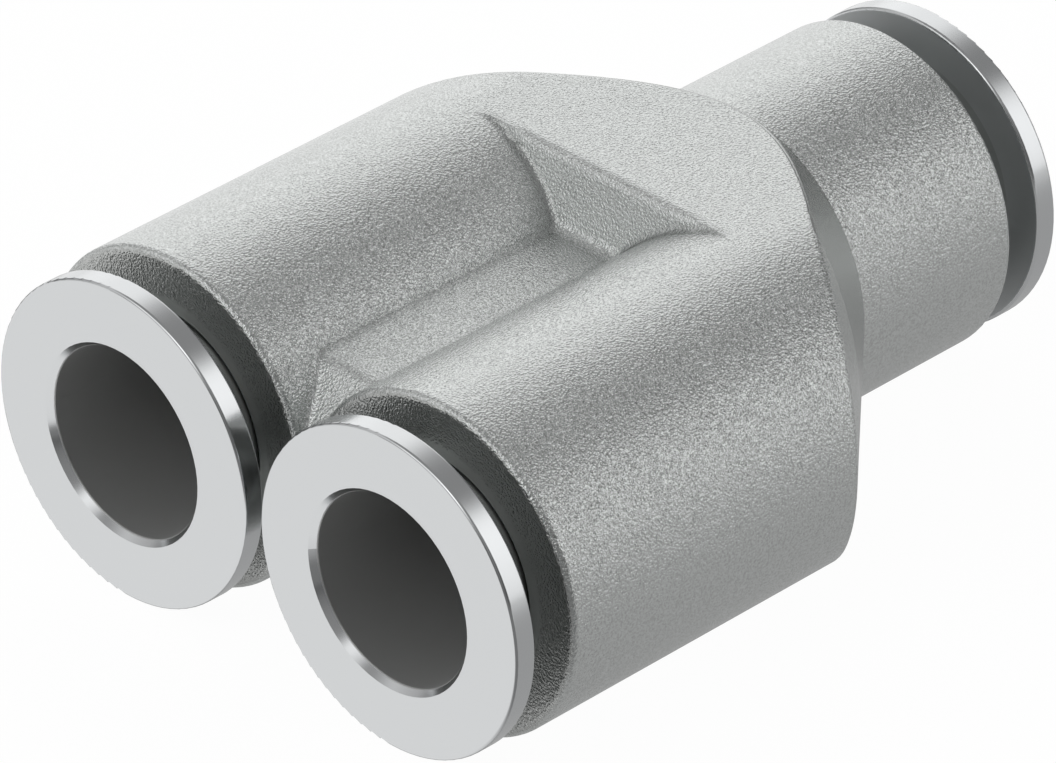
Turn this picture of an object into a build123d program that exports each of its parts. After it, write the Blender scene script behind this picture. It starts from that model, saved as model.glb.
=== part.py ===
from build123d import *
import math
import os

# A Y connector for plastic tubing: one cast body with two side by side branch ports and
# one single port. Each port holds a push-in insert: a release ring that slides, a guide
# ring, a toothed claw ring, a backing washer and a tube seal.
# Millimetres. +X runs from the branch ports to the single port, +Y to the left branch,
# +Z up. The connector lies flat with its underside on z = 0.

# Overall sizes
overall_length = 38.2  # between the outer faces of the release rings
port_spacing = 14.85  # between the axes of the two branches
branch_barrel_r = 7.3  # also half the height of the body
single_barrel_r = 7.2
end_round = 0.3  # soft edge at the end of each barrel

# Rear shoulder, a turned cone about the main axis
shoulder_from_single = 11.45  # from the single ring's outer face to the foot of the cone
shoulder_angle = 42.0  # between the cone and the main axis, in degrees
shoulder_round = 0.35  # soft edge where the cone meets the sides
barrel_root = 1.0  # how far the single barrel runs into the shoulder
cone_root = 2.0  # how far the cone runs on inside the single barrel

# Valley between the two branches, the same above and below
valley_half = 4.5  # half the thickness of the web that joins the branches
ramp_foot = 18.35  # from the branch ring's outer face to the foot of the rear ramp
ramp_draft = 19.0  # lean of the ramp, in degrees
nose_half = 2.2  # half the height of the flat at the front of the web
nose_setback = 0.45  # from the end of the barrels to that flat
nose_angle = 48.0  # slope of the web's front, in degrees
crease_round = 0.3  # where the barrels meet the floor, the ramp and the nose
ramp_foot_round = 0.6
nose_round = 0.8

# Tube and release ring
tube_r = 4.0
tube_clearance = 0.1
flange_inset = 0.3  # how much smaller the ring's flange is than the branch barrel
ring_flange_t = 1.03
ring_edge = 0.14  # soft edge on both sides of the flange
mouth_flare = 0.24  # chamfer at the ring's mouth, across the radius
mouth_flare_depth = 0.31
ring_gap = 1.74  # from the back of the flange to the end of the body
sleeve_wall = 0.75
sleeve_length = 6.3  # from the ring's outer face to its inner end
barb_height = 0.22  # flared lip that keeps the ring in its guide
barb_length = 0.4

# Cavity for the insert
lip_t = 0.8  # body lip rolled over the insert
lip_clearance = 0.1  # between the sleeve and that lip
cavity_r = 6.1
insert_clearance = 0.05  # loose pieces in the cavity
running_clearance = 0.07  # sleeve in its guide ring

# Guide ring
guide_length = 3.4
barb_play = 0.05  # along the axis, between the barb and its shoulder
barb_side_clearance = 0.3

# Claw ring
claw_t = 0.25
claw_rim_r = 5.4  # inner edge of the flat rim, where the teeth start
claw_tip_r = 3.92
claw_lean = 1.1  # how far the tips lie behind the rim
claw_count = 10
claw_slot = 0.6

# Backing washer
washer_length = 2.05
washer_recess_r = 5.5
washer_web = 0.4

# Seal, with a groove that opens towards the tube stop
seal_inner_r = 3.85
seal_length = 2.2
seal_play = 0.02  # along the axis on each side
seal_lip = 0.45  # thickness of its lips at their tips
seal_groove = 1.2
seal_lead = 0.5  # how much wider the seal opens where the tube comes in

# Tube stop and flow passages
tube_socket_clearance = 0.08
tube_stop = 15.5  # from the ring's outer face
flow_r = 2.4
branch_turn = 2.1  # from the branch tube stop to the bend
single_turn = 2.1  # from the single tube stop to the bend

# Sizes that follow from the ones above
centre_z = branch_barrel_r
branch_x = -overall_length / 2
single_x = overall_length / 2
branch_y = port_spacing / 2
end_face = ring_flange_t + ring_gap
bore_r = tube_r + tube_clearance
sleeve_r = bore_r + sleeve_wall
ring_flange_r = branch_barrel_r - flange_inset
barb_r = sleeve_r + barb_height
barb_front = sleeve_length - barb_length
guide_start = end_face + lip_t
guide_end = guide_start + guide_length
guide_bore_r = sleeve_r + running_clearance
guide_step = barb_front - barb_play
guide_relief_r = barb_r + barb_side_clearance
claw_rim_end = guide_end + claw_t
claw_tip_end = claw_rim_end + claw_lean
washer_end = claw_rim_end + washer_length
seal_outer_r = cavity_r - insert_clearance
seal_front = washer_end + seal_play
seal_back = seal_front + seal_length
cavity_end = seal_back + seal_play
mouth_r = sleeve_r + lip_clearance
socket_r = tube_r + tube_socket_clearance
washer_bore_r = tube_r + tube_socket_clearance
shoulder_x = single_x - shoulder_from_single


def turned(points):
    # A solid of revolution about X from points of (along the axis, radius).
    return revolve(make_face(Polyline(*points, close=True)), axis=Axis.X)


def port_places():
    # Name and place of each port; every port is drawn along +X from its ring's face.
    return {
        "left": Location((branch_x, branch_y, centre_z)),
        "right": Location((branch_x, -branch_y, centre_z)),
        "single": Location((single_x, 0, centre_z), (0, 0, 180)),
    }


def release_ring():
    section = make_face(
        Polyline(
            (0, bore_r + mouth_flare),
            (0, ring_flange_r),
            (ring_flange_t, ring_flange_r),
            (ring_flange_t, sleeve_r),
            (barb_front, sleeve_r),
            (barb_front, barb_r),
            (sleeve_length - barb_length / 2, barb_r),
            (sleeve_length, sleeve_r),
            (sleeve_length, bore_r),
            (mouth_flare_depth, bore_r),
            close=True,
        )
    )
    rim = [corner for corner in section.vertices() if corner.Y > ring_flange_r - ring_edge]
    return revolve(fillet(rim, ring_edge), axis=Axis.X)


def guide_ring():
    return turned(
        [
            (guide_start, guide_bore_r),
            (guide_start, cavity_r),
            (guide_end, cavity_r),
            (guide_end, guide_relief_r),
            (guide_step, guide_relief_r),
            (guide_step, guide_bore_r),
        ]
    )


def claw_ring():
    lean = math.atan2(claw_lean, claw_rim_r - claw_tip_r)
    along = claw_t / math.cos(lean)
    ring = turned(
        [
            (guide_end, cavity_r - insert_clearance),
            (claw_rim_end, cavity_r - insert_clearance),
            (claw_rim_end, claw_rim_r),
            (claw_tip_end, claw_tip_r),
            (claw_tip_end - along, claw_tip_r),
            (guide_end, claw_rim_r + (along - claw_t) / math.tan(lean)),
        ]
    )
    slot_height = claw_rim_r - claw_slot / 2
    slot = Box(4 * claw_lean, claw_slot, slot_height)
    slot = Pos(claw_rim_end, 0, slot_height / 2) * slot
    slot += Pos(claw_rim_end, 0, slot_height) * Rot(0, 90, 0) * Cylinder(claw_slot / 2, 4 * claw_lean)
    for number in range(claw_count):
        ring -= Rot(360 * number / claw_count, 0, 0) * slot
    return ring


def backing_washer():
    return turned(
        [
            (claw_rim_end, washer_recess_r),
            (claw_rim_end, cavity_r - insert_clearance),
            (washer_end, cavity_r - insert_clearance),
            (washer_end, washer_bore_r),
            (washer_end - washer_web, washer_bore_r),
            (washer_end - washer_web, washer_recess_r),
        ]
    )


def tube_seal():
    groove_r = (seal_inner_r + seal_outer_r) / 2
    return turned(
        [
            (seal_front, seal_inner_r + seal_lead),
            (seal_front, seal_outer_r),
            (seal_back, seal_outer_r),
            (seal_back, seal_outer_r - seal_lip),
            (seal_back - seal_groove, groove_r),
            (seal_back, seal_inner_r + seal_lip),
            (seal_back, seal_inner_r),
        ]
    )


def port_cut(turn):
    # The stepped socket for one port, down to the bend of its flow passage.
    start = end_face - 1
    return turned(
        [
            (start, 0),
            (start, mouth_r),
            (guide_start, mouth_r),
            (guide_start, cavity_r),
            (cavity_end, cavity_r),
            (cavity_end, socket_r),
            (tube_stop, socket_r),
            (tube_stop, flow_r),
            (tube_stop + turn, flow_r),
            (tube_stop + turn, 0),
        ]
    )


def rounded_barrel(radius, start, end):
    # A barrel along X whose end at `start` has a soft edge.
    barrel = turned([(start, 0), (start, radius), (end, radius), (end, 0)])
    rim = barrel.edges().filter_by(GeomType.CIRCLE).sort_by(Axis.X)[0]
    return fillet(rim, end_round)


def shoulder_form():
    # Everything inside the rear cone, open towards the branches.
    reach = branch_y + branch_barrel_r + 1
    slope = math.tan(math.radians(shoulder_angle))
    cone_start = shoulder_x - (reach - single_barrel_r) / slope
    cone_end = shoulder_x + cone_root
    return turned(
        [
            (branch_x, 0),
            (branch_x, reach),
            (cone_start, reach),
            (cone_end, single_barrel_r - cone_root * slope),
            (cone_end, 0),
        ]
    )


def shouldered(block):
    # The block cut off by the rear cone, with a soft edge all round the cone.
    block = block & shoulder_form()
    cone = block.faces().filter_by(GeomType.CONE)[0]
    plain = (GeomType.CIRCLE, GeomType.LINE)
    rim = [edge for edge in cone.edges() if edge.geom_type not in plain]
    return fillet(rim, shoulder_round)


def barrel_core(side):
    # The full round of one branch barrel, to cut away from a tool.
    core = turned(
        [
            (branch_x, 0),
            (branch_x, branch_barrel_r),
            (single_x, branch_barrel_r),
            (single_x, 0),
        ]
    )
    return Pos(0, side * branch_y, 0) * core


def valley_side():
    # The hollow seen from the side: flat front, sloping nose, floor and rear ramp.
    flat = branch_x + end_face + nose_setback
    before = flat - 1
    nose_top = flat + (valley_half - nose_half) / math.tan(math.radians(nose_angle))
    foot = branch_x + ramp_foot
    over = branch_barrel_r + 1
    ramp_top = foot + (over - valley_half) * math.tan(math.radians(ramp_draft))
    side = make_face(
        Polyline(
            (before, nose_half),
            (flat, nose_half),
            (nose_top, valley_half),
            (foot, valley_half),
            (ramp_top, over),
            (before, over),
            close=True,
        )
    )
    rounds = [((nose_top, valley_half), nose_round), ((foot, valley_half), ramp_foot_round)]
    for corner, radius in rounds:
        side = fillet(side.vertices().sort_by_distance(corner)[0], radius)
    return side


def valley_creases(hollow):
    # The edges where the barrels' walls meet the floor, the ramp and the nose.
    creases = []
    for wall in hollow.faces().filter_by(GeomType.CYLINDER):
        if abs(wall.radius - branch_barrel_r) > 0.001:
            continue
        for edge in wall.edges():
            box = edge.bounding_box()
            in_front = box.min.X < branch_x + end_face
            on_deck = box.min.Z > branch_barrel_r - 0.01
            if not in_front and not on_deck:
                creases.append(edge)
    return creases


def valley_cut():
    # The hollow between the branches on the upper side.
    hollow = extrude(Plane.XZ * valley_side(), amount=branch_y, both=True)
    for side in (1, -1):
        hollow -= barrel_core(side)
    return fillet(valley_creases(hollow), crease_round)


def outer_body():
    flat = end_face + nose_setback
    length = shoulder_x + cone_root - branch_x - flat
    outline = SlotCenterToCenter(port_spacing, 2 * branch_barrel_r)
    block = Pos(branch_x + flat, 0, 0) * extrude(Plane.YZ * outline, amount=length)
    block = shouldered(block)
    hollow = valley_cut()
    block -= hollow
    block -= mirror(hollow, about=Plane.XY)
    barrel_end = rounded_barrel(branch_barrel_r, end_face, flat)
    for side in (1, -1):
        block += Pos(branch_x, side * branch_y, 0) * barrel_end
    block = Pos(0, 0, centre_z) * block
    barrel = rounded_barrel(single_barrel_r, end_face, shoulder_from_single + barrel_root)
    return block + port_places()["single"] * barrel


def flow_passage(side):
    # The slanting passage from one branch to the single port.
    bend = Vector(branch_x + tube_stop + branch_turn, side * branch_y, centre_z)
    meet = Vector(single_x - tube_stop - single_turn, 0, centre_z)
    way = meet - bend
    passage = Plane(origin=bend, z_dir=way) * Cylinder(
        flow_r, way.length, align=(Align.CENTER, Align.CENTER, Align.MIN)
    )
    passage += Pos(bend) * Sphere(flow_r)
    passage += Pos(meet) * Sphere(flow_r)
    return passage


def fitting_body():
    body = outer_body()
    places = port_places()
    body -= places["left"] * port_cut(branch_turn)
    body -= places["right"] * port_cut(branch_turn)
    body -= places["single"] * port_cut(single_turn)
    for side in (1, -1):
        body -= flow_passage(side)
    return body


def main():
    os.makedirs("parts", exist_ok=True)
    export_step(fitting_body(), "parts/fitting_body.step")
    pieces = {
        "release_ring": release_ring(),
        "guide_ring": guide_ring(),
        "claw_ring": claw_ring(),
        "backing_washer": backing_washer(),
        "tube_seal": tube_seal(),
    }
    for port, place in port_places().items():
        for name, piece in pieces.items():
            export_step(place * piece, f"parts/{port}_{name}.step")


main()
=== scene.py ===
import math

import bpy
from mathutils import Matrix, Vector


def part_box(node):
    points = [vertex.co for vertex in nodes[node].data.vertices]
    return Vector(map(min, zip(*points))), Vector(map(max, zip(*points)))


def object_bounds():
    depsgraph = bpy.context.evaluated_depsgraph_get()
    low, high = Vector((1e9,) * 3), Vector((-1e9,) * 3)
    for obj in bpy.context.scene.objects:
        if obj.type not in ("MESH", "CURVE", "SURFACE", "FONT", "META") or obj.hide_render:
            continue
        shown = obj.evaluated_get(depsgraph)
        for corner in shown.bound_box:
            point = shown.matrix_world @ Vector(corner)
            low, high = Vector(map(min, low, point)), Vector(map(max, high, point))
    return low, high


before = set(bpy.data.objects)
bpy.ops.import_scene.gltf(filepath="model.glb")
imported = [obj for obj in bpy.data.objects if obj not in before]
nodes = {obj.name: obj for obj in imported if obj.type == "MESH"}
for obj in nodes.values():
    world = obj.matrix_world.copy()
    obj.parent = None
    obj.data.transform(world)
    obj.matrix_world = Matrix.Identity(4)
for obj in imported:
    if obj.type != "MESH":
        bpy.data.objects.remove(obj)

cadBox = [list(corner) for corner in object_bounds()]
ports = ["left", "right", "single"]


class Wire:  # one socket of a node tree, so that a material's sums read as plain expressions
    def __init__(self, tree, socket=None):
        self.tree = tree
        self.socket = socket

    def node(self, kind, settings=None, inputs=None, out=0):
        made = self.tree.nodes.new(kind)
        for name, value in (settings or {}).items():
            setattr(made, name, value)
        for name, value in (inputs or {}).items():
            if isinstance(value, Wire):
                self.tree.links.new(value.socket, made.inputs[name])
            else:
                made.inputs[name].default_value = value
        return Wire(self.tree, made.outputs[out] if len(made.outputs) else None)

    def maths(self, operation, other=0.0, swapped=False):
        first, second = (other, self) if swapped else (self, other)
        return self.node("ShaderNodeMath", {"operation": operation}, {0: first, 1: second})

    def __add__(self, other):
        return self.maths("ADD", other)

    def __radd__(self, other):
        return self.maths("ADD", other, swapped=True)

    def __sub__(self, other):
        return self.maths("SUBTRACT", other)

    def __rsub__(self, other):
        return self.maths("SUBTRACT", other, swapped=True)

    def __mul__(self, other):
        return self.maths("MULTIPLY", other)

    def __rmul__(self, other):
        return self.maths("MULTIPLY", other, swapped=True)

    def within(self, low, high):  # 0 on low's side, 1 on high's side, smooth between them
        inputs = {"Value": self, "From Min": low, "From Max": high, "To Min": 0.0, "To Max": 1.0}
        return self.node("ShaderNodeMapRange", {"interpolation_type": "SMOOTHSTEP"}, inputs)

    def mixed(self, first, second):  # a colour between two others, by this value
        inputs = {0: self, 6: first, 7: second}  # 6 and 7 are the node's colour sockets
        return self.node("ShaderNodeMix", {"data_type": "RGBA"}, inputs, out=2)

    def steered(self, first, second):  # a direction between two others, by this value
        inputs = {0: self, 4: first, 5: second}  # 4 and 5 are the node's vector sockets
        return self.node("ShaderNodeMix", {"data_type": "VECTOR"}, inputs, out=1)

    def part(self, axis):  # one coordinate of a vector
        return self.node("ShaderNodeSeparateXYZ", None, {0: self}, out=axis)


def newMaterial(name):
    made = bpy.data.materials.new(name)
    made.use_nodes = True
    made.node_tree.nodes.clear()
    return made, Wire(made.node_tree)


def objectPlace(tree):
    return tree.node("ShaderNodeTexCoord", out="Object")


def noise(tree, place, look):  # the look's size is the width of its grain in metres
    inputs = {
        "Vector": place,
        "Scale": 1 / look["size"],
        "Detail": look["detail"],
        "Roughness": look["roughness"],
    }
    return tree.node("ShaderNodeTexNoise", None, inputs)


def direction(tree, x, y, z):  # a unit vector from three numbers or sockets
    joined = tree.node("ShaderNodeCombineXYZ", None, {"X": x, "Y": y, "Z": z})
    return tree.node("ShaderNodeVectorMath", {"operation": "NORMALIZE"}, {0: joined})


def finishMaterial(tree, surface):
    tree.node("ShaderNodeOutputMaterial", None, {"Surface": surface})


# Where each port's axis runs, read from its release ring

def portAxis(port):
    low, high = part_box(port + "_release_ring")
    return (low[1] + high[1]) / 2, (low[2] + high[2]) / 2


def fromAxis(tree, place, axis):  # distance from a port's axis, in metres
    aside = place.part("Y") - axis[0]
    above = place.part("Z") - axis[1]
    return (aside * aside + above * above).maths("SQRT")


axes = {port: portAxis(port) for port in ports}
halfHeight = axes["single"][1]  # of the body, about the axes, and the radius of a branch barrel


# Body: cast, with a fine orange-peel skin under a dull nickel plate, machined at the mouths, with
# painted shade in the grain's pits, in the valley's creases and on the faces round the branch
# mouths

castSkin = {
    "colour": (0.695, 0.715, 0.705, 1),
    # the grain's pits, darkened as painted shade
    "pit": (0.59, 0.605, 0.595, 1),
    "pitEdge": (0.3, 0.6),  # painted pit shade: all of it below the first level of the grain, none above the second
    "grain": {"size": 0.0001, "detail": 1.6, "roughness": 0.5},
    "grainHeight": 0.000058,
    "roughness": 0.20,
    "cloud": {"size": 0.0011, "detail": 3.0, "roughness": 0.6},
    "cloudRoughness": 0.08,
    "machined": (0.0052, 0.0056),  # radius of the smooth mouth, and where the grain is back
    "edge": 0.00008,
    "ends": (0.52, 0.53, 0.52, 1),  # painted shade on the faces round the branch mouths, where the flanges shadow them
    "endDepth": (0.00278, 0.00284),  # how far behind the rings' outer faces they lie
    "cone": {  # the turned shoulder
        "colour": (0.55, 0.565, 0.555, 1),
        "foot": (0.00765, 0.0072),  # where it meets the single barrel, along X and from the axis
        "start": 0.003,  # along X
        "angle": 42,
        "near": (0.00012, 0.00006),  # none past the first distance from the cone, all by the second
        "smooth": 0.8,  # the share of the grain that turning took off
    },
    "ramp": {
        "top": 0.00021,  # where it meets the deck, along X
        "lean": 19,
        "roll": 0.00055,
        "ends": (0.0058, 0.0042),  # distance aside: no roll at the first, all of it at the second
    },
    # painted shade in the valley's creases, where the barrels meet the ramp and the floor
    "crease": {
        "colour": (0.50, 0.515, 0.505, 1),
        "wide": 0.00045,
        "floorHeight": 0.0045,  # of the valley's floor, from the axes
        "floorShare": 0.5,  # how strong the painted shade is along the floor
        "inner": (0.007, 0.006),  # distance aside: no shade at the first, all of it at the second
    },
}


def rolledEdge(tree, place, normal):  # the deck rolls over softly into the ramp, above and below
    ramp = castSkin["ramp"]
    lean = math.radians(ramp["lean"])
    height = place.part("Z") - halfHeight
    depth = halfHeight - height.maths("ABSOLUTE")
    slant = 1 / math.cos(lean) - math.tan(lean)
    past = place.part("X") - ramp["top"] - depth * slant  # up the ramp, then along the deck
    turned = past.within(-ramp["roll"], ramp["roll"])
    across = (turned - 1.0) * math.cos(lean)
    upright = turned + (1.0 - turned) * math.sin(lean)
    rolled = direction(tree, across, 0.0, upright * height.maths("SIGN"))
    near = past.maths("ABSOLUTE").maths("LESS_THAN", ramp["roll"])
    mask = near * place.part("Y").maths("ABSOLUTE").within(*ramp["ends"])
    return mask.steered(normal, rolled)


def paintedCreaseShade(tree, place, toBranch):  # painted shade: 1 in the valley's corners, fading out beside them
    ramp = castSkin["ramp"]
    crease = castSkin["crease"]
    lean = math.radians(ramp["lean"])
    height = (place.part("Z") - halfHeight).maths("ABSOLUTE")
    rampPlace = ramp["top"] - (halfHeight - height) * math.tan(lean)

    def near(distance):
        return distance.maths("ABSOLUTE").within(crease["wide"], 0.0)

    nearRamp = near((rampPlace - place.part("X")) * math.cos(lean))
    nearFloor = near(height - crease["floorHeight"])
    alongFloor = nearFloor * crease["floorShare"]
    alongBarrel = near(toBranch - halfHeight) * nearRamp.maths("MAXIMUM", alongFloor)
    inner = place.part("Y").maths("ABSOLUTE").within(*crease["inner"])
    return alongBarrel.maths("MAXIMUM", nearRamp * alongFloor) * inner


def turnedCone(tree, place):  # 1 on the shoulder's cone, 0 elsewhere
    cone = castSkin["cone"]
    foot, radius = cone["foot"]
    along = place.part("X")
    out = radius + (foot - along) * math.tan(math.radians(cone["angle"]))
    off = (fromAxis(tree, place, axes["single"]) - out).maths("ABSOLUTE")
    between = along.maths("GREATER_THAN", cone["start"]) * along.maths("LESS_THAN", foot)
    return off.within(*cone["near"]) * between


def castNickel():
    made, tree = newMaterial("castNickel")
    place = objectPlace(tree)
    grain = noise(tree, place, castSkin["grain"])
    cloud = noise(tree, place, castSkin["cloud"])
    bothBranches = tree.node("ShaderNodeVectorMath", {"operation": "ABSOLUTE"}, {0: place})
    toBranch = fromAxis(tree, bothBranches, axes["left"])
    toSingle = fromAxis(tree, place, axes["single"])
    front = place.part("X").maths("LESS_THAN", 0.0)
    turned = turnedCone(tree, place)
    branchSkin = front * toBranch.within(*castSkin["machined"])
    singleSkin = (1.0 - front) * toSingle.within(*castSkin["machined"])
    cast = (branchSkin + singleSkin) * (1.0 - turned * castSkin["cone"]["smooth"])
    # painted shade darkens the grain's pits
    skin = grain.within(*castSkin["pitEdge"]).mixed(castSkin["pit"], castSkin["colour"])
    skin = paintedCreaseShade(tree, place, toBranch).mixed(skin, castSkin["crease"]["colour"])
    # painted shade on the faces round the branch mouths, behind the flanges
    endShadeMask = (place.part("X") - cadBox[0][0]).within(*castSkin["endDepth"])
    skin = turned.mixed(endShadeMask.mixed(castSkin["ends"], skin), castSkin["cone"]["colour"])
    edge = tree.node("ShaderNodeBevel", {"samples": 6}, {"Radius": castSkin["edge"]})
    bump = tree.node(
        "ShaderNodeBump",
        None,
        {
            "Strength": 1.0,
            "Distance": castSkin["grainHeight"],
            "Height": grain * cast,
            "Normal": rolledEdge(tree, place, edge),
        },
    )
    surface = tree.node(
        "ShaderNodeBsdfPrincipled",
        None,
        {
            "Base Color": skin,
            "Metallic": 1.0,
            "Roughness": castSkin["roughness"] + castSkin["cloudRoughness"] * cloud,
            "Normal": bump,
        },
    )
    finishMaterial(tree, surface)
    return made


# Release rings: turned and bright outside, duller down the bore and behind the flange

ringSkin = {
    "colour": (0.665, 0.678, 0.686, 1),
    "roughness": 0.15,
    "turning": {"scale": 9000.0, "detail": 2.0},  # fine rings round the axis
    "turningRoughness": 0.03,
    "bore": (0.50, 0.505, 0.50, 1),
    "boreEdge": (0.00411, 0.00415),
    "boreRoughness": 0.3,  # more than outside
    "boreMetal": 0.4,
    "behind": (0.56, 0.575, 0.57, 1),  # the back of the flange and the sleeve
    "behindEdge": 0.00002,  # over what depth that colour sets in
    "behindRoughness": 0.3,  # more than in front
    "flange": 0.00103,
    "flangeFrom": 0.0053,  # radius from which only the flange is left
    "flangeSlack": 0.00003,  # so that its two faces are still counted in
    "round": 0.00014,  # radius of the flange's edges
}


def flangeNormal(tree, place, radius, port, middle):  # faces, rim and the round edges between them
    low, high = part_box(port + "_release_ring")
    half = ringSkin["flange"] / 2
    soft = ringSkin["round"]
    along = place.part("X") - middle
    away = along.maths("ABSOLUTE")
    past = (away - (half - soft)).maths("MAXIMUM", 0.0)
    beyond = (radius - ((high[1] - low[1]) / 2 - soft)).maths("MAXIMUM", 0.0)
    aside = (place.part("Y") - axes[port][0]) * beyond
    above = (place.part("Z") - axes[port][1]) * beyond
    exact = direction(tree, along.maths("SIGN") * past * radius, aside, above)
    onFlange = away.maths("LESS_THAN", half + ringSkin["flangeSlack"])
    mask = onFlange * radius.maths("GREATER_THAN", ringSkin["flangeFrom"])
    return mask.steered(tree.node("ShaderNodeNewGeometry", out="Normal"), exact)


def brightNickel(port):
    made, tree = newMaterial(port + "RingNickel")
    place = objectPlace(tree)
    radius = fromAxis(tree, place, axes[port])
    outside = radius.within(*ringSkin["boreEdge"])
    lines = {
        "W": radius,
        "Scale": ringSkin["turning"]["scale"],
        "Detail": ringSkin["turning"]["detail"],
    }
    turning = tree.node("ShaderNodeTexNoise", {"noise_dimensions": "1D"}, lines)
    low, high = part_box(port + "_release_ring")
    front, inward = (high[0], -1) if port == "single" else (low[0], 1)
    depth = (place.part("X") - front) * inward
    behind = depth.within(ringSkin["flange"] - ringSkin["behindEdge"], ringSkin["flange"])
    rough = ringSkin["roughness"] + ringSkin["turningRoughness"] * turning
    rough = rough + (1.0 - outside) * ringSkin["boreRoughness"]
    rough = rough + behind * outside * ringSkin["behindRoughness"]
    if port == "single":  # the back of its flange keeps the bright colour
        behind = behind * radius.maths("LESS_THAN", ringSkin["flangeFrom"])
    colour = behind.mixed(ringSkin["colour"], ringSkin["behind"])
    middle = front + inward * ringSkin["flange"] / 2
    surface = tree.node(
        "ShaderNodeBsdfPrincipled",
        None,
        {
            "Base Color": outside.mixed(ringSkin["bore"], colour),
            "Metallic": ringSkin["boreMetal"] + outside * (1 - ringSkin["boreMetal"]),
            "Roughness": rough,
            "Normal": flangeNormal(tree, place, radius, port, middle),
        },
    )
    finishMaterial(tree, surface)
    return made


# Turned and pressed pieces behind the rings

insertSkins = {
    "guide_ring": {"colour": (0.42, 0.42, 0.40, 1), "roughness": 0.34},
    "backing_washer": {"colour": (0.46, 0.40, 0.26, 1), "roughness": 0.36},
    "claw_ring": {"colour": (0.30, 0.31, 0.32, 1), "roughness": 0.38},
}
insertFinish = {
    "cloud": {"size": 0.002, "detail": 2.0, "roughness": 0.5},
    "cloudRoughness": 0.1,
    "dark": 0.85,  # share of the colour in the darker patches
    "darkEdge": (0.35, 0.65),
    "edge": 0.00004,
}


def plainMetal(name, skin):
    made, tree = newMaterial(name)
    place = objectPlace(tree)
    cloud = noise(tree, place, insertFinish["cloud"])
    rounded = tree.node("ShaderNodeBevel", {"samples": 4}, {"Radius": insertFinish["edge"]})
    darker = tuple(insertFinish["dark"] * part for part in skin["colour"][:3]) + (1,)
    surface = tree.node(
        "ShaderNodeBsdfPrincipled",
        None,
        {
            "Base Color": cloud.within(*insertFinish["darkEdge"]).mixed(darker, skin["colour"]),
            "Metallic": 1.0,
            "Roughness": skin["roughness"] + insertFinish["cloudRoughness"] * cloud,
            "Normal": rounded,
        },
    )
    finishMaterial(tree, surface)
    return made


# Seals: black moulded rubber with a faint bloom

sealSkin = {
    "colour": (0.02, 0.02, 0.021, 1),
    "bloom": (0.05, 0.05, 0.05, 1),
    "bloomEdge": (0.4, 0.8),
    "roughness": 0.5,
    "cloud": {"size": 0.0015, "detail": 3.0, "roughness": 0.6},
    "cloudRoughness": 0.1,
}


def blackRubber():
    made, tree = newMaterial("blackRubber")
    place = objectPlace(tree)
    cloud = noise(tree, place, sealSkin["cloud"])
    bloomed = cloud.within(*sealSkin["bloomEdge"])
    surface = tree.node(
        "ShaderNodeBsdfPrincipled",
        None,
        {
            "Base Color": bloomed.mixed(sealSkin["colour"], sealSkin["bloom"]),
            "Roughness": sealSkin["roughness"] + sealSkin["cloudRoughness"] * cloud,
        },
    )
    finishMaterial(tree, surface)
    return made


def paint(node, material):
    for slot in nodes[node].material_slots:
        slot.material = material


paint("fitting_body", castNickel())
rubber = blackRubber()
inserts = {piece: plainMetal(piece + "Metal", skin) for piece, skin in insertSkins.items()}
for port in ports:
    paint(port + "_release_ring", brightNickel(port))
    paint(port + "_tube_seal", rubber)
    for piece, material in inserts.items():
        paint(port + "_" + piece, material)
print("materials done")


# Camera, as the photograph was taken

camera = {
    "eye": (-0.23858, -0.23431, 0.21516),
    "down": 32.144,  # degrees below level
    "turn": -45.025,
    "lens": 337.9,
    "sensor": 36.0,
    "clip": (0.01, 20),
}


def addCamera():
    bpy.ops.object.select_all(action="DESELECT")
    turn = (math.radians(90 - camera["down"]), 0, math.radians(camera["turn"]))
    bpy.ops.object.camera_add(location=camera["eye"], rotation=turn)
    made = bpy.context.object
    made.name = "photoCamera"
    made.data.lens = camera["lens"]
    made.data.sensor_width = camera["sensor"]
    made.data.clip_start, made.data.clip_end = camera["clip"]
    bpy.context.scene.camera = made


addCamera()


# Studio: pale floor, dim surround and large soft panels, placed as the metal mirrors them; the
# floor holds painted light and shade that only the metal sees

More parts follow.
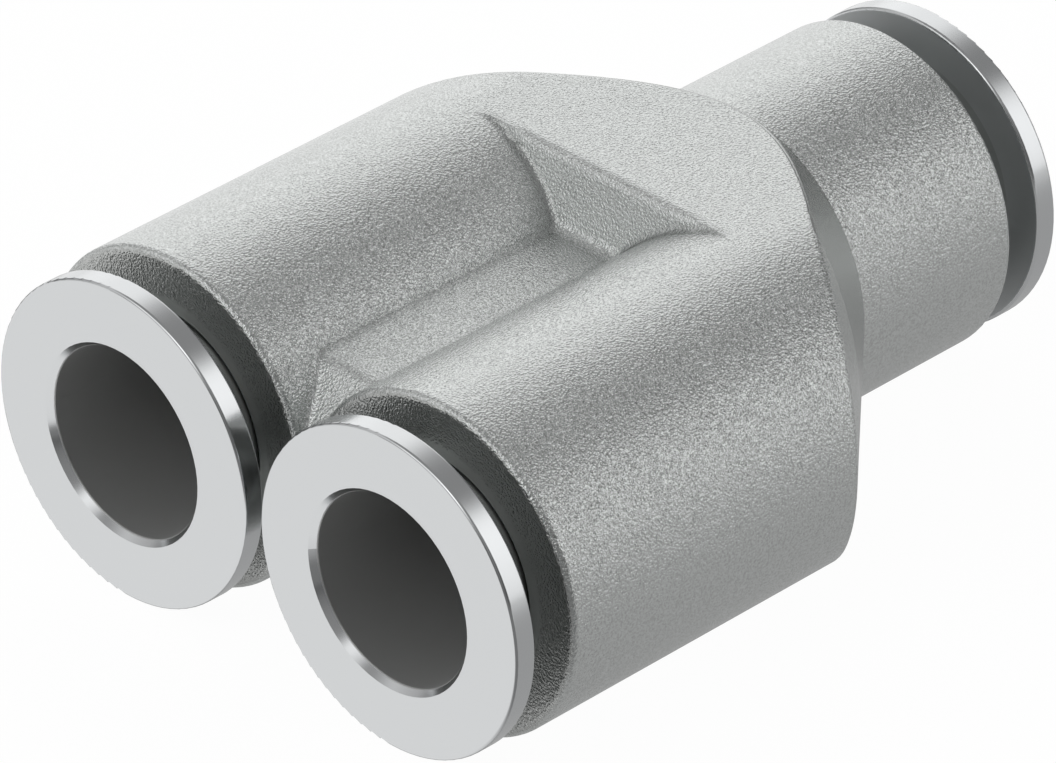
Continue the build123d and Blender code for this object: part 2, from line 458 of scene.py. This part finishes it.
studio = {
    "floorSize": 3.0,
    "floor": 0.8,
    "floorSeen": 0.92,  # how much of its brightness to the camera is plain white
    "floorWhite": 1.05,
    "floorNear": 0.42,  # how bright the metal shows the floor, close by and far out; painted, and darker close by as painted shade
    "floorFar": 0.65,
    "farEdge": (0.03, 0.15),
    "floorZones": [  # painted pools of light and shade on the floor, seen only in the metal, each none at the first X or Y and full at the second
        {"level": 0.86, "alongX": (0.0, -0.03), "alongY": (0.04, 0.08)},
        {"level": 0.92, "alongX": (-0.01, 0.01), "alongY": (0.01, 0.035)},
        {"level": 0.22, "alongX": (-0.017, -0.020), "alongY": (-0.012, -0.018)},
        {"level": 0.915, "alongX": (-0.0190, -0.0193), "alongY": (-0.016, -0.010)},
    ],
    "surround": 0.03,
    "whiteMirrored": 0.1,  # how much of the white all round the metal shows
    "panelSide": (0.0, 0.2),  # keeps a panel off the far side, by the cosine of the angle to it
    "panels": [  # turn from +X, height above level, half the width, half the height, in degrees
        {"turned": 48, "raised": 16, "wide": 26, "high": 32, "soft": 9, "strength": 0.93},
        {"turned": 48, "raised": 2, "wide": 26, "high": 18, "soft": 10, "strength": 0.16},
        {"turned": -48, "raised": 22, "wide": 13, "high": 27, "soft": 8, "strength": 1.12},
        {"turned": 168, "raised": 30, "wide": 20, "high": 18, "soft": 7, "strength": 1.05},
        {"turned": -170, "raised": 42, "wide": 12, "high": 14, "soft": 6, "strength": 0.9},
        {"turned": 118, "raised": 24, "wide": 24, "high": 26, "soft": 8, "strength": 0.46},
        {"turned": 0, "raised": 90, "wide": 55, "high": 55, "soft": 18, "strength": 0.2},
    ],
}


def whiteShare(tree, seen, mirrored):  # how much of the white the camera sees, and the metal
    toCamera = tree.node("ShaderNodeLightPath", out="Is Camera Ray")
    glossy = tree.node("ShaderNodeLightPath", out="Is Glossy Ray")
    through = tree.node("ShaderNodeLightPath", out="Is Transmission Ray")
    return toCamera * seen + glossy * mirrored + through * mirrored


def paintedFloorGlow(tree, place):  # painted light and shade on the floor, seen only in the metal: its brightness from place to place
    alongX = place.part("X")
    alongY = place.part("Y")
    out = (alongX * alongX + alongY * alongY).maths("SQRT")
    near, far = studio["floorNear"], studio["floorFar"]
    level = near + out.within(*studio["farEdge"]) * (far - near)
    for zone in studio["floorZones"]:
        mask = alongX.within(*zone["alongX"]) * alongY.within(*zone["alongY"])
        level = level + mask * (zone["level"] - level)
    return level.mixed((0, 0, 0, 1), (1, 1, 1, 1))


def addFloor():
    bpy.ops.object.select_all(action="DESELECT")
    bpy.ops.mesh.primitive_plane_add(size=studio["floorSize"], location=(0, 0, 0))
    floor = bpy.context.object
    floor.name = "floor"
    made, tree = newMaterial("paleFloor")
    place = objectPlace(tree)
    grey = (studio["floor"], studio["floor"], studio["floor"], 1)
    diffuse = tree.node("ShaderNodeBsdfDiffuse", None, {"Color": grey})
    toCamera = tree.node("ShaderNodeLightPath", out="Is Camera Ray")
    # the camera sees plain white; the metal sees the painted light and shade
    glow = toCamera.mixed(paintedFloorGlow(tree, place), (1, 1, 1, 1))
    inputs = {"Color": glow, "Strength": studio["floorWhite"]}
    white = tree.node("ShaderNodeEmission", None, inputs)
    share = whiteShare(tree, studio["floorSeen"], 1.0)
    surface = tree.node("ShaderNodeMixShader", None, {0: share, 1: diffuse, 2: white})
    finishMaterial(tree, surface)
    floor.data.materials.append(made)


def panelGlow(tree, seen, panel):  # a soft box of light, seen in one direction
    turned = math.radians(panel["turned"])
    raised = math.radians(panel["raised"])
    level = math.cos(raised)
    toward = (level * math.cos(turned), level * math.sin(turned), math.sin(raised))
    aside = (-math.sin(turned), math.cos(turned), 0.0)
    up = (-math.sin(raised) * math.cos(turned), -math.sin(raised) * math.sin(turned), level)

    def along(axis):
        settings = {"operation": "DOT_PRODUCT"}
        return tree.node("ShaderNodeVectorMath", settings, {0: seen, 1: axis}, out="Value")

    glow = along(toward).within(*studio["panelSide"]) * panel["strength"]
    for axis, half in ((aside, panel["wide"]), (up, panel["high"])):
        gone = math.sin(math.radians(half + panel["soft"]))
        full = math.sin(math.radians(half - panel["soft"]))
        glow = glow * along(axis).maths("ABSOLUTE").within(gone, full)
    return glow


def addSurround():
    world = bpy.data.worlds.new("surround")
    bpy.context.scene.world = world
    world.use_nodes = True
    world.node_tree.nodes.clear()
    tree = Wire(world.node_tree)
    toward = tree.node("ShaderNodeTexCoord", out="Generated")
    strength = studio["surround"]
    for panel in studio["panels"]:
        strength = strength + panelGlow(tree, toward, panel)
    white = tree.node("ShaderNodeBackground", None, {"Color": (1, 1, 1, 1), "Strength": 1.0})
    tent = tree.node("ShaderNodeBackground", None, {"Color": (1, 1, 1, 1), "Strength": strength})
    share = whiteShare(tree, 1.0, studio["whiteMirrored"])
    surface = tree.node("ShaderNodeMixShader", None, {0: share, 1: tent, 2: white})
    tree.node("ShaderNodeOutputWorld", None, {"Surface": surface})


addFloor()
addSurround()
bpy.context.scene.view_settings.view_transform = "Standard"
print("studio done")
